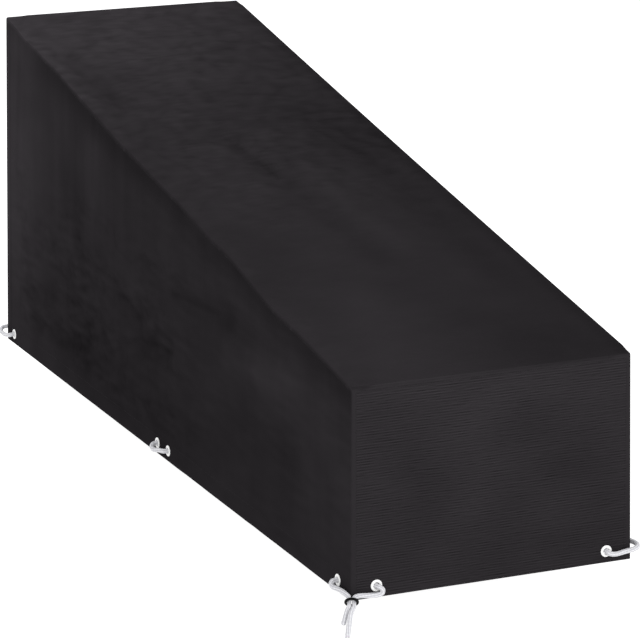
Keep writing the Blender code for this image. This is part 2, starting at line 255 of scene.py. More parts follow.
# %% Route of the cord outside the walls
# Up to three points of one kind on each row. A wall's points are along, up and
# out, free ones are X, Y and up, and the ring's are its side, how far past its
# plane, and a lift. Between two parts the cord runs inside a wall.
OUTSIDE = (
    (  # the long tail and the front left corner
        ("free", (-0.3262, -1.061, -0.0729), (-0.322, -1.06, -0.0399), (-0.3158, -1.0572, -0.013)),
        ("ring", (1.0, 0.0095, 0.0), (1.0, 0.0, 0.0), (1.0, -0.0085, 0.001)),
        ("front", (-0.29, 0.011, 0.0085), (-0.268, 0.0088, 0.0082), (-0.251, 0.0078, 0.0094)),
        ("front", (-0.242, 0.0108, 0.0108), (-0.2405, 0.017, 0.0112), (-0.2445, 0.022, 0.0096)),
    ),
    (  # round the front right corner
        ("front", (0.255, 0.0208, 0.01), (0.27, 0.018, 0.009), (0.2894, 0.02, 0.008)),
        ("free", (0.3075, -1.036, 0.023), (0.3205, -1.029, 0.025), (0.3245, -1.015, 0.0265)),
        ("right", (-0.99, 0.0262, 0.0125), (-0.973, 0.0246, 0.01)),
    ),
    (  # the middle of the right wall
        ("right", (-0.0615, 0.0212, 0.01), (-0.034, 0.015, 0.0125), (-0.0065, 0.021, 0.01)),
    ),
    (  # round the back right corner
        ("right", (0.976, 0.0218, 0.01), (1.008, 0.0186, 0.0095)),
        ("free", (0.3194, 1.0258, 0.0185), (0.31, 1.0352, 0.0185)),
        ("back", (0.28, 0.0188, 0.0096), (0.255, 0.0218, 0.01)),
    ),
    (  # round the back left corner
        ("back", (-0.255, 0.0232, 0.01), (-0.286, 0.0255, 0.01)),
        ("free", (-0.309, 1.0388, 0.0272), (-0.3225, 1.04, 0.0245), (-0.329, 1.031, 0.0182)),
        ("left", (1.009, 0.015, 0.0125), (0.99, 0.0175, 0.0112), (0.9755, 0.0218, 0.0098)),
    ),
    (  # the middle of the left wall
        ("left", (-0.002, 0.0228, 0.0108), (-0.0032, 0.019, 0.0144), (-0.009, 0.0158, 0.0158)),
        ("left", (-0.02, 0.015, 0.0145), (-0.039, 0.019, 0.0115), (-0.0605, 0.023, 0.01)),
    ),
    (  # the front left corner and the short tail
        ("left", (-0.968, 0.023, 0.0112), (-0.9688, 0.0185, 0.0152), (-0.974, 0.0142, 0.014)),
        ("left", (-0.986, 0.013, 0.0094), (-1.004, 0.0136, 0.008), (-1.021, 0.0138, 0.0082)),
        ("ring", (-1.0, -0.0085, 0.0015), (-1.0, 0.0, 0.0), (-1.0, 0.0085, 0.0)),
        ("free", (-0.319, -1.0462, -0.011), (-0.3292, -1.0485, -0.0385)),
    ),
)
INSIDE_BEND = ((0.0, -0.0062), (0.008, -0.0125))  # along and out
INSIDE_RUN_OUT = -0.012
INSIDE_SAG = 0.008
OUTSIDE_START = 0.0056

# %% Folds of the cloth
# Each fold: start along, start across, end along, end across, spread, rise.
FOLDS = {
    "top": (
        (-0.08, 0.22, -0.04, -0.1, 0.03, -0.0035),
        (-0.04, -0.1, 0.0, -0.5, 0.03, -0.003),
        (0.03, -0.02, 0.07, -0.46, 0.032, 0.0035),
        (-0.242, 0.74, -0.222, 0.41, 0.032, -0.004),
        (0.02, 0.91, 0.1, 0.9, 0.03, -0.002),
        (0.19, 0.38, 0.215, -0.62, 0.05, -0.004),
        (-0.12, -0.66, -0.17, -0.87, 0.045, 0.003),
    ),
    "left": (
        (-0.1, 0.387, -0.41, 0.405, 0.03, -0.0045),
        (-0.41, 0.405, -0.7, 0.41, 0.032, -0.0035),
        (-0.41, 0.32, -0.57, 0.33, 0.035, 0.004),
        (-0.57, 0.33, -0.8, 0.375, 0.035, 0.0035),
        (0.87, 0.15, 0.69, 0.195, 0.032, -0.0045),
        (0.272, 0.31, 0.11, 0.274, 0.032, -0.0045),
        (0.76, 0.085, 0.44, 0.14, 0.032, -0.004),
        (0.11, 0.215, -0.06, 0.245, 0.032, -0.0045),
        (0.85, 0.68, 0.85, 0.33, 0.045, 0.004),
        (0.635, 0.64, 0.64, 0.38, 0.04, 0.004),
        (0.52, 0.61, 0.515, 0.36, 0.035, -0.003),
        (0.395, 0.6, 0.4, 0.4, 0.038, 0.0035),
        (-0.52, 0.2, -0.72, 0.2, 0.09, -0.005),
    ),
    "right": (
        (0.06, 0.4, 0.42, 0.33, 0.034, -0.0045),
        (-0.62, 0.37, -0.28, 0.3, 0.034, -0.004),
        (0.76, 0.66, 0.75, 0.33, 0.045, 0.004),
        (0.56, 0.6, 0.57, 0.32, 0.04, -0.0035),
        (0.88, 0.2, 0.62, 0.15, 0.035, -0.004),
        (-0.2, 0.18, 0.08, 0.23, 0.04, 0.004),
        (-0.8, 0.16, -0.56, 0.22, 0.06, -0.0045),
    ),
    "front": (
        (-0.17, 0.24, -0.14, 0.17, 0.045, -0.003),
        (0.06, 0.3, 0.16, 0.22, 0.055, -0.003),
        (0.12, 0.08, 0.22, 0.075, 0.03, 0.002),
        (-0.05, 0.33, -0.04, 0.15, 0.06, 0.002),
    ),
    "back": (
        (-0.12, 0.7, -0.15, 0.25, 0.06, -0.0045),
        (0.13, 0.64, 0.09, 0.3, 0.06, 0.0045),
        (-0.04, 0.22, 0.18, 0.17, 0.045, -0.004),
    ),
}
FOLD_MARGIN = 0.035
HEM_MARGIN = 0.05


def ridges(rows, along, across):
    """The sum of soft ridges along straight lines, at one place."""
    here = Vector((along, across))
    total = 0.0
    for row in rows:
        start = Vector(row[0:2])
        run = Vector(row[2:4]) - start
        share = clamp((here - start).dot(run) / run.length_squared)
        total += row[5] * hump((here - start - run * share).length, 0.0, row[4])
    return total


MOUNT_UP = slope_height(0.0) - edge_dip(0.0, 0.0) + ridges(FOLDS["top"], 0.0, 0.0) - CLOTH
print("the hem lies", round(MOUNT_UP, 4), "under the origin")

# %% One place of the route as a point
def ring_normal():
    """The ring's axis, along the cord's ends: outward from the corner and down."""
    return RING_FACING * math.cos(RING_TILT) - OUTWARD["top"] * math.sin(RING_TILT)


def route_point(kind, place):
    if kind == "free":
        return Vector(place)
    if kind == "ring":
        side, past, lift = place
        aside = RING_ACROSS * side * (CORD_RADIUS * SQUEEZE + GAP)
        return RING_CENTRE + aside + ring_normal() * past + OUTWARD["top"] * lift
    return spot(kind, *place)


# %% Through the eyelets and along the inner side
def eyelet_pass(wall, along, towards):
    """Straight in through an eyelet, then round towards its neighbour."""
    points = [spot(wall, along, EYELET_UP, OUTSIDE_START)]
    for shift, out in INSIDE_BEND:
        points.append(spot(wall, along + towards * shift, EYELET_UP, out))
    return points


def inside_run(wall, start, end):
    """In through one eyelet, along the wall's inner side and out of the next."""
    towards = 1.0 if end > start else -1.0
    middle = spot(wall, (start + end) / 2, EYELET_UP - INSIDE_SAG, INSIDE_RUN_OUT)
    leaving = eyelet_pass(wall, end, -towards)
    return [*eyelet_pass(wall, start, towards), middle, *leaving[::-1]]


# %% The whole route
cord_points = []
for number, rows in enumerate(OUTSIDE):
    if number:
        (wall, _, start), (_, _, end) = EYELETS[2 * number - 2 : 2 * number]
        cord_points += inside_run(wall, start, end)
    for kind, *places in rows:
        cord_points += [route_point(kind, place) for place in places]
print("cord points", len(cord_points))

# %% A smooth line through the points
ROPE_STEP = 0.00165


def between(first, second, start, end, at):
    """The blend of two points that a value between start and end asks for."""
    share = (at - start) / max(end - start, 1e-9)
    return first + (second - first) * share


def smooth_line(points, pieces=14):
    """A centripetal Catmull-Rom line: it passes each point and never loops."""
    line = []
    padded = [points[0] * 2 - points[1], *points, points[-1] * 2 - points[-2]]
    for i in range(len(points) - 1):
        p = padded[i : i + 4]
        t = [0.0]
        for a, b in zip(p, p[1:]):
            t.append(t[-1] + math.sqrt((b - a).length))
        for step in range(pieces):
            at = t[1] + (t[2] - t[1]) * step / pieces
            a = [between(p[k], p[k + 1], t[k], t[k + 1], at) for k in range(3)]
            b = [between(a[k], a[k + 1], t[k], t[k + 2], at) for k in range(2)]
            line.append(between(b[0], b[1], t[1], t[2], at))
    return [*line, points[-1]]


def evenly_spaced(line, step):
    """Points along the line with the same distance between them."""
    reached = [0.0]
    for a, b in zip(line, line[1:]):
        reached.append(reached[-1] + (b - a).length)
    count = round(reached[-1] / step)
    spaced, i = [], 0
    for k in range(count + 1):
        at = reached[-1] * k / count
        while i < len(line) - 2 and reached[i + 1] < at:
            i += 1
        spaced.append(between(line[i], line[i + 1], reached[i], reached[i + 1], at))
    return spaced, reached[-1]


route_line = smooth_line(cord_points)
rope_line, rope_length = evenly_spaced(route_line, ROPE_STEP)
print("rope length", round(rope_length, 3), "rings", len(rope_line))

# %% Frames along the rope
def carried_frames(line):
    """Two directions square to the line, carried along it without a twist."""
    side = OUTWARD["top"].cross(line[1] - line[0]).normalized()
    frames = []
    for i in range(len(line)):
        ahead = (line[min(i + 1, len(line) - 1)] - line[max(i - 1, 0)]).normalized()
        side = (side - ahead * side.dot(ahead)).normalized()
        frames.append((side, ahead.cross(side)))
    return frames


SQUEEZE_REACH = 0.016
SQUEEZE_HOLD = 1.25  # over 1, so that the narrow part has some length


def squeezed_width(point):
    """The rope's share of its width: both ends give way to the narrow ring."""
    near = hump((point - RING_CENTRE).length, 0.0, SQUEEZE_REACH)
    return 1.0 - (1.0 - SQUEEZE) * min(SQUEEZE_HOLD * near, 1.0)


rope_frames = carried_frames(rope_line)
rope_widths = [squeezed_width(point) for point in rope_line]
print("narrowest", round(min(rope_widths), 3))

# %% Rolling the rope
ROPE_SIDES = 24
ROPE_SKIN = 0.0052  # the knit's crests; the rope gives a little in the eyelets
COLUMNS = 6  # columns of stitches round the rope
KNIT_PITCH = 0.0072  # one stitch of a column
KNIT_TWIST = 0.3  # the columns turn once in this length
KNIT_RELIEF = 0.0007
SEALED_END = 0.004  # the ends are melted round so that they don't fray
MERGE = 0.00002  # points closer than this are one


def knit_height(turn, along):
    """A column's crest, with one V for each stitch: 0 in a groove, 1 on top."""
    column = COLUMNS * (turn + along / KNIT_TWIST) % 1.0
    crest = math.sin(math.pi * column)
    arms = abs(column - 0.5)
    stitch = 0.5 + 0.5 * math.cos(math.tau * (along / KNIT_PITCH + 0.8 * arms))
    return crest * (0.72 + 0.28 * stitch)


def end_round(along, length):
    """Narrows the last millimetres of the rope into a dome."""
    rest = min(along, length - along, SEALED_END)
    return math.sqrt(max(0.0, 1.0 - (1.0 - rest / SEALED_END) ** 2))


rows = len(rope_line) - 1
rope_bm = bmesh.new()
rope_bm.loops.layers.uv.new("UVMap")
height_layer = rope_bm.verts.layers.float.new("knit")
bmesh.ops.create_grid(
    rope_bm, x_segments=ROPE_SIDES, y_segments=rows, size=0.5, calc_uvs=True
)
for vert in rope_bm.verts:
    turn = vert.co.x + 0.5
    row = round((vert.co.y + 0.5) * rows)
    along = rope_length * row / rows
    height = knit_height(turn, along)
    radius = ROPE_SKIN * rope_widths[row] - KNIT_RELIEF * (1.0 - height)
    radius *= end_round(along, rope_length)
    side, up = rope_frames[row]
    round_line = side * math.cos(math.tau * turn) + up * math.sin(math.tau * turn)
    vert.co = rope_line[row] + round_line * radius
    vert[height_layer] = height
bmesh.ops.remove_doubles(rope_bm, verts=rope_bm.verts, dist=MERGE)
bmesh.ops.recalc_face_normals(rope_bm, faces=rope_bm.faces)
print("rope points", len(rope_bm.verts))

# %% Adding a finished piece
def as_mesh(bm):
    """Lowers the shape from hem height to the frame's origin and keeps it."""
    bmesh.ops.translate(bm, verts=bm.verts, vec=(0.0, 0.0, -MOUNT_UP))
    mesh = bpy.data.meshes.new("shape")
    bm.to_mesh(mesh)
    bm.free()
    mesh.shade_smooth()
    return mesh


def add_piece(name, mesh, slot, *stands_for):
    """Links a piece at the origin, on the cover's one body."""
    piece = in_scene(name, mesh)
    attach(piece, "root")
    if stands_for:
        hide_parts(*stands_for)
    return piece


def count_triangles(piece):
    return sum(len(face.vertices) - 2 for face in piece.data.polygons)


rope = add_piece("knitted_cord", as_mesh(rope_bm), "cord", "draw_cord")
print("rope triangles", count_triangles(rope))

# %% [markdown]
# ## Gathering ring
# A small black ring holds both ends of the cord together. An outline that is
# spun once round makes it, and the same function makes the eyelets.

# %% Spinning a profile round Z
def spun(profile, steps):
    """Turns a closed outline of (radius, height) pairs once round Z."""
    bm = bmesh.new()
    verts = [bm.verts.new((radius, 0.0, height)) for radius, height in profile]
    edges = [bm.edges.new((verts[i - 1], verts[i])) for i in range(len(verts))]
    whole = {"axis": OUTWARD["top"], "angle": math.tau, "use_merge": True}
    bmesh.ops.spin(bm, geom=verts + edges, steps=steps, **whole)
    bmesh.ops.remove_doubles(bm, verts=bm.verts, dist=MERGE / 2)
    bmesh.ops.recalc_face_normals(bm, faces=bm.faces)
    return bm


def upright_matrix(place, normal):
    """Puts a shape that is turned round Z onto a wall, with +Z outward."""
    return Matrix.Translation(place) @ normal.to_track_quat("Z", "Y").to_matrix().to_4x4()


# %% The ring
RING_SIDES = 14
RING_STEPS = 56
MOULDED_WIRE = 0.0027  # a moulded ring is a little thicker than a bent wire
ring_outline = []
for k in range(RING_SIDES):
    angle = math.tau * k / RING_SIDES
    radius = RING_RADIUS + MOULDED_WIRE * math.cos(angle)
    ring_outline.append((radius, MOULDED_WIRE * math.sin(angle)))
ring_bm = spun(ring_outline, RING_STEPS)
place = upright_matrix(RING_CENTRE, ring_normal())
bmesh.ops.transform(ring_bm, matrix=place, verts=ring_bm.verts)
ring = add_piece("gathering_ring", as_mesh(ring_bm), "ring", "cord_ring")
print("ring triangles", count_triangles(ring))

# %% [markdown]
# ## Eyelets
# Each eyelet is a white two-part grommet: a domed flange outside, a barrel
# through the cloth and a washer inside.

# %% One eyelet's outline
EYELET_STEPS = 40
FLANGE_EDGE = 0.0009
FLANGE_DOME = 0.0016  # how far the dome stands over the flange's edge
WASHER = 0.0011


def eyelet_outline():
    """From the inner washer through the bore to the rolled flange outside."""
    under = -CLOTH - GAP
    bore, barrel, rim = EYELET_BORE, BARREL_RADIUS, EYELET_RADIUS
    rows = [(bore + 0.0002, under - WASHER), (bore, under - 0.0008), (bore, 0.0008)]
    for k in range(1, 10):
        angle = math.pi * k / 10
        radius = (bore + rim) / 2 - math.cos(angle) * (rim - bore) / 2
        rows.append((radius, FLANGE_EDGE + FLANGE_DOME * math.sin(angle) ** 0.8))
    rows += [
        (rim, FLANGE_EDGE),
        (rim - 0.0001, GAP),
        (barrel, GAP),
        (barrel, under),
        (rim - 0.001, under),
        (rim - 0.0009, under - 0.0006),
        (rim - 0.0014, under - WASHER),
    ]
    return rows


# %% All twelve eyelets
EYELET_SHARP = math.radians(50)
eyelets = []
for wall, where, along in EYELETS:
    name = f"eyelet_{wall}_{where}"
    bm = spun(eyelet_outline(), EYELET_STEPS)
    place = upright_matrix(*wall_frame(wall, along, EYELET_UP))
    bmesh.ops.transform(bm, matrix=place, verts=bm.verts)
    piece = add_piece(f"white_{name}", as_mesh(bm), "eyelet", name)
    piece.data.set_sharp_from_angle(angle=EYELET_SHARP)
    eyelets.append(piece)
print("eyelets", len(eyelets), "of", count_triangles(piece), "triangles")

# %% [markdown]
# ## Cloth panels
# The cover is sewn from five panels of black woven sheet, so each panel is a
# thin sheet of its own. Its main folds are those of the solids, and a finer
# relief is added here: ribs, ripples along the edges and crumples from the
# time that the cover lay folded. A cloth simulation wouldn't put the folds
# where this cover has them, so the relief is functions of the place on it.

# %% Noise that reads a place on the cloth
def ripple(along, across, long, wide, layer):
    """Soft noise from -1 to 1, stretched to a length and a width."""
    return noise.noise(Vector((along / long, across / wide, layer)))


def crease(along, across, size, layer):
    """A net of sharp creases: 1 on a crease and 0 on the facets."""
    bend = ripple(along, across, size * 1.7, size * 1.7, layer + 7.3)
    value = ripple(along + bend * size, across - bend * size, size, size, layer)
    return max(0.0, 1.0 - abs(value) * 3.0) ** 2


# %% Painted light and shade of the cloth
# Each panel's colour is scaled to paint the light that falls on it: lighter
# on the slope and the front, darker on the back. Soft patches paint lighter
# and darker places. 1 is the plain cloth.
PANEL_PAINTED_LIGHT = {"top": 1.15, "left": 1.02, "right": 1.02, "front": 1.17, "back": 0.96}
# Painted light patches: centre along and across, spread along and across,
# amount; under 0 it is painted shade.
PAINTED_LIGHT_PATCHES = {
    "top": (
        (-0.16, 0.95, 0.42, 0.45, 0.48),
        (-0.21, -0.05, 0.16, 0.28, 0.15),
        (-0.31, 1.02, 0.04, 0.03, 0.25),
        (0.32, 0.15, 0.16, 0.7, -0.2),
        (-0.25, -0.9, 0.2, 0.25, 0.16),
        (0.24, -0.95, 0.2, 0.28, -0.2),
    ),
    "left": (
        (1.0, 0.5, 0.22, 0.4, 0.68),
        (0.1, 0.08, 0.7, 0.17, -0.24),
        (-0.78, 0.3, 0.28, 0.14, 0.14),
        (0.43, 0.6, 0.16, 0.12, 0.16),
        (-0.25, 0.34, 0.2, 0.12, -0.1),
    ),
    "right": (
        (0.8, 0.5, 0.3, 0.4, 0.2),
        (0.2, 0.08, 0.6, 0.16, -0.15),
    ),
    "front": (
        (0.0, 0.44, 0.6, 0.12, 0.1),
        (0.15, 0.06, 0.4, 0.1, -0.08),
    ),
    "back": ((0.05, 0.7, 0.4, 0.25, 0.1),),
}


# Painted light and shade at a place on a panel.
def painted_light_at(panel, along, across):
    tone = 1.0
    for centre, level, long, wide, amount in PAINTED_LIGHT_PATCHES[panel]:
        tone += amount * hump(along, centre, long) * hump(across, level, wide)
    return tone * PANEL_PAINTED_LIGHT[panel]


# %% Lone creases
# Each crease: from along and across, to along and across, spread, and how much painted shade
# darkens it.
LONE_CREASES = {
    "top": (
        (-0.07, 0.21, -0.055, 0.12, 0.006, 0.08),
        (-0.055, 0.12, -0.04, -0.04, 0.007, 0.11),
        (-0.26, 0.66, -0.25, 0.61, 0.01, 0.12),
        (-0.235, 0.47, -0.23, 0.42, 0.01, 0.14),
    ),
    "left": (
        (-0.08, 0.38, -0.34, 0.4, 0.006, 0.09),
        (0.25, 0.3, 0.16, 0.295, 0.006, 0.08),
        (0.19, 0.2, 0.11, 0.235, 0.006, 0.1),
        (0.1, 0.232, -0.06, 0.247, 0.006, 0.12),
        (0.63, 0.09, 0.45, 0.113, 0.01, 0.12),
        (0.27, 0.44, 0.26, 0.41, 0.006, 0.08),
        (0.26, 0.41, 0.16, 0.395, 0.005, 0.09),
        (0.08, 0.43, 0.16, 0.395, 0.005, 0.08),
    ),
}
CREASE_SINK = 0.004  # metres of depth for each unit of darkening


# %% Relief of the slope
RIB_PITCH = 0.0053  # the cloth's ribs lie this far apart
WAVE_MARGIN = 0.08  # the widest waves need this room to die out at a seam


def slope_relief(x, y):
    """Streaks across the back half, ripples at both long edges, soft waves.

    Returns the rise and the tone, which is 1 on plain cloth and holds painted light and shade.
    """
    back = fraction(y, -0.6, 0.2)
    left = hump(x, -WIDTH / 2 + 0.016, 0.026)
    right = hump(x, WIDTH / 2 - 0.012, 0.018)
    inner = fraction(x, -WIDTH / 2 + 0.02, -WIDTH / 2 + 0.14)
    inner *= 1.0 - 0.55 * fraction(x, -0.12, 0.22)
    inside = min(WIDTH / 2 - abs(x), LENGTH / 2 - abs(y))
    streak = ripple(x, y, 0.042, 0.0085, 2.0)
    band = ripple(x, y, 0.07, 0.026, 3.0)
    scallop = ripple(x, y, 0.03, 0.024, 4.0)
    net = crease(x, y, 0.085, 6.0)
    blot = ripple(x, y, 0.03, 0.04, 9.0)
    rise = 0.0018 * ripple(x, y, 0.16, 0.23, 1.0) * fraction(inside, 0.0, WAVE_MARGIN)
    rise += (0.00006 + 0.0004 * back * inner) * streak + 0.0006 * back * band
    rise += 0.0014 * left * scallop + 0.0004 * back * blot
    rise += 0.0004 * right * ripple(x, y, 0.3, 0.03, 5.0)
    rise -= 0.0006 * back * net
    # The tone paints the relief's light and shade: lighter where streaks, bands, blots and
    # scallops rise, darker in the creases. A slow ripple varies it at random.
    tone = 1.0 + (0.03 + 0.15 * back * inner) * streak + 0.1 * back * band
    tone += 0.1 * ripple(x, y, 0.2, 0.3, 8.0) - 0.1 * back * net
    # A painted highlight along the rolled left edge, painted shade along the right edge.
    rim = 0.25 + 0.75 * fraction(y, 0.1, 0.7)
    tone += 0.13 * back * blot + 0.22 * rim * left * scallop
    tone += rim * (0.14 + 0.1 * scallop) * hump(x, -WIDTH / 2 + 0.01, 0.014)
    tone -= 0.16 * hump(x, WIDTH / 2 - 0.01, 0.016)
    # Painted shade along the lone creases, which also sink.
    dark = ridges(LONE_CREASES["top"], x, y)
    rise -= CREASE_SINK * dark
    tone -= dark
    return rise, tone * painted_light_at("top", x, y)


# %% Relief of the side walls
def side_relief(y, up):
    """Upright streaks at the back, a crumpled middle and a smoother front."""
    high = fraction(up, 0.28, 0.46)
    back = fraction(y, -0.15, 0.45)
    low = fraction(y, -0.45, 0.05) * (1.0 - fraction(y, 0.88, 1.0))
    crumpled = low * (1.0 - fraction(up, 0.36, 0.54)) * fraction(up, 0.02, 0.09)
    narrow = (0.4 + 0.6 * high * back) * ripple(y, up, 0.026, 0.34, 12.0)
    wide = high * ripple(y, up, 0.07, 0.26, 13.0)
    crumpled *= fraction(ripple(y, up, 0.3, 0.11, 42.0), -0.75, 0.45)
    net = crease(y / 2.6, up, 0.024, 14.0) + 0.7 * crease(y / 3.2, up, 0.042, 44.0)
    net *= crumpled
    dents = crumpled * ripple(y, up, 0.06, 0.018, 15.0)
    soft = ripple(y, up, 0.16, 0.06, 18.0)
    grain = (1.0 - high * back) * ripple(y, up, 0.085, 0.017, 45.0)
    rise = 0.00015 * narrow + 0.0002 * wide - 0.0009 * net + 0.0007 * dents
    rise += 0.0005 * soft + 0.0003 * grain
    rise -= 0.0004 * (1.0 - back) * crease(y / 2.0, up, 0.08, 16.0)
    end = LENGTH / 2 - y
    # The tone paints the relief's light and shade: lighter where the streaks, dents, soft waves
    # and grain rise, darker in the creases. A pale line and a dark line run beside the back seam,
    # and a slow ripple varies the tone at random.
    tone = 1.0 + 0.08 * narrow + 0.04 * wide - 0.14 * net + 0.2 * dents
    tone += 0.1 * hump(end, 0.018, 0.005) - 0.16 * hump(end, 0.03, 0.005)
    tone += 0.08 * ripple(y, up, 0.3, 0.17, 17.0) + 0.07 * soft + 0.09 * grain
    return rise, tone


# %% Relief of the end walls
def end_relief(x, up, ribbed):
    """Flat with a few soft waves, and with raised ribs if the grid is fine."""
    layer = 21.0 if ribbed else 31.0
    rise = 0.0005 * ripple(x, up, 0.09, 0.022, layer + 1.0)
    tone = 1.0 + 0.06 * ripple(x, up, 0.12, 0.05, layer + 3.0)
    if not ribbed:
        return rise, tone
    broken = 0.5 + 1.5 * ripple(x, up, 0.036, 0.0065, layer + 2.0)
    wander = 2.4 * ripple(x, up, 0.11, 0.024, layer + 4.0)
    rib = broken * math.sin(math.tau * up / RIB_PITCH + wander)
    rise += 0.00026 * rib
    # Painted shade in the ribs' grooves and painted light on their crests.
    return rise, tone + 0.2 * rib


# %% Fading the relief at seams and eyelets
SEAM_MARGIN = 0.014
WAVE_RISE = 0.002
SEAM_GAP = 0.00002  # sewn edges all but touch, so that no light comes through
EYELET_FLAT = (0.015, 0.05)
# Painted shade in a fold's valley and painted light on its crest.
FOLD_PAINTED_SHADING = 30.0  # how much a fold's valley darkens per metre of depth


def wall_relief(wall, along, up):
    """How far the cloth stands out at a place on a wall, and its tone."""
    is_side = wall in SIDES
    if is_side:
        rise, tone = side_relief(along, up)
        half = LENGTH / 2
    else:
        rise, tone = end_relief(along, up, wall == "front")
        half = WIDTH / 2 - LAP
    height = slope_height(along if is_side else OUTWARD[wall].y * LENGTH / 2) - LAP
    inside = min(half - abs(along), height - up)
    if is_side:
        # Painted shade under the lap, along the top of each side wall, weaker towards the back.
        shade = 0.26 - 0.2 * fraction(along, 0.5, 0.9)
        tone *= 1.0 - shade * hump(max(0.0, height - up), 0.0, 0.045)
    fade = fraction(inside, 0.0, SEAM_MARGIN)
    # Painted shade along the lone creases, which also sink.
    dark = ridges(LONE_CREASES.get(wall, ()), along, up)
    rise -= CREASE_SINK * dark
    tone -= dark
    wave = WAVE_RISE * ripple(along, up, 0.26, 0.2, 19.0)
    rise += wave * fraction(min(inside, up), 0.0, WAVE_MARGIN)
    for holder, _, place in EYELETS:
        if holder == wall:
            away = math.hypot(along - place, up - EYELET_UP)
            fade *= fraction(away, *EYELET_FLAT)
    return rise * fade, tone * painted_light_at(wall, along, up)


# %% From a coarse sheet to a fine one
BEND_STEPS = 5
SEWN_RADIUS = 0.0045  # the cloth folds tighter than the plain solid shows
FINE_CUTS = 7


def edges_where(bm, test):
    """The edges whose two ends both pass a test."""
    return [edge for edge in bm.edges if all(test(vert.co) for vert in edge.verts)]


def new_sheet(columns, rows):
    """A flat grid of 1 by 1 that keeps each point's place and tone."""
    bm = bmesh.new()
    place = bm.verts.layers.float_vector.new("cloth_place")
    toned = bm.verts.layers.float.new("cloth_tone")
    bmesh.ops.create_grid(bm, x_segments=columns, y_segments=rows, size=0.5)
    return bm, place, toned


def add_lap(bm, edges, outward):
    """Turns a lap inwards along the edges, to sew to the next panel."""
    for made in bmesh.ops.extrude_edge_only(bm, edges=edges)["geom"]:
        if isinstance(made, bmesh.types.BMVert):
            made.co -= outward * LAP


def round_edges(bm, edges):
    """Rolls the sewn edges over, as the stiff cloth does."""
    shape = {"offset_type": "OFFSET", "affect": "EDGES", "profile": 0.5, "material": -1}
    bmesh.ops.bevel(bm, geom=edges, offset=SEWN_RADIUS, segments=BEND_STEPS, **shape)


def refine(bm):
    """Cuts the long edges short, so that the sheet can carry its relief."""
    long_edges = [edge for edge in bm.edges if edge.calc_length() > 2 * EDGE_RADIUS]
    bmesh.ops.subdivide_edges(bm, edges=long_edges, cuts=FINE_CUTS, use_grid_fill=True)


def turn_outward(bm, outward):
    """Makes the sheet's faces look to its outer side."""
    bmesh.ops.recalc_face_normals(bm, faces=bm.faces)
    facing = sum((face.normal * face.calc_area() for face in bm.faces), Vector())
    if facing.dot(outward) < 0.0:
        bmesh.ops.reverse_faces(bm, faces=bm.faces)


# %% The slope
TOP_COARSE = (11, 56)
WRAP_RIBS = 1.4  # where only the material draws the ribs


def lap_tone(x, y, drop, tone, on_end):
    """A lap takes the tone of the wall that it lies on."""
    if on_end:
        wall, along = ("front" if y < 0.0 else "back"), x
    else:
        wall, along = ("left" if x < 0.0 else "right"), y
    below = painted_light_at(wall, along, slope_height(y) + drop)
    start = 0.0
    if wall in SIDES:
        below = wall_relief(wall, along, slope_height(y) + drop)[1]
        start = 0.004 + 0.011 * ripple(along, 0.0, 0.018, 1.0, 41.0)
    elif x < 0.0:
        # Painted shade in a thin line just under the rolled edge, near the left corner.
        below *= 1.0 - 0.35 * fraction(-x, 0.22, 0.27) * hump(drop, -0.002, 0.002)
    share = fraction(-drop, start, start + 0.003)
    return tone * (1.0 - share) + below * share


def top_sheet():
    """A flat grid, its rim turned down and rounded, then tilted and draped."""
    bm, place, toned = new_sheet(*TOP_COARSE)
    for vert in bm.verts:
        vert.co = Vector((vert.co.x * WIDTH, vert.co.y * LENGTH, 0.0))
    rim = [edge for edge in bm.edges if edge.is_boundary]
    add_lap(bm, rim, OUTWARD["top"])
    wide, long = WIDTH / 2 - GAP, LENGTH / 2 - GAP
    corners = edges_where(bm, lambda co: abs(co.x) > wide and abs(co.y) > long)
    round_edges(bm, rim + corners)
    refine(bm)
    turn_outward(bm, OUTWARD["top"])
    for vert in bm.verts:
        x, y, drop = vert.co
        inside = min(WIDTH / 2 - abs(x), LENGTH / 2 - abs(y))
        fine, tone = slope_relief(x, y)
        fold = ridges(FOLDS["top"], x, y) * fraction(inside, 0.0, FOLD_MARGIN)
        # Painted shade in the fold valleys, painted light on the crests.
        tone += FOLD_PAINTED_SHADING * fold
        vert[place] = (x, y, 0.55)
        if drop < 0.0:
            on_end = LENGTH / 2 - abs(y) < WIDTH / 2 - abs(x)
            tone = lap_tone(x, y, drop, tone, on_end)
            vert[place] = (x, y + drop, WRAP_RIBS if on_end else 0.3)
        vert[toned] = tone
        vert.co = drape(Vector((x, y, slope_height(y) + drop)))
        vert.co.z += fold + fine * fraction(inside, 0.0, SEAM_MARGIN)
    return bm


# %% One wall
WALL_COARSE = {"left": (48, 14), "right": (48, 14), "front": (8, 36), "back": (10, 16)}
RIB_SHARE = {"left": 0.25, "right": 0.25, "front": 1.6, "back": 1.4}
TURN = 0.003  # past a corner the tone changes to the end wall's in this length


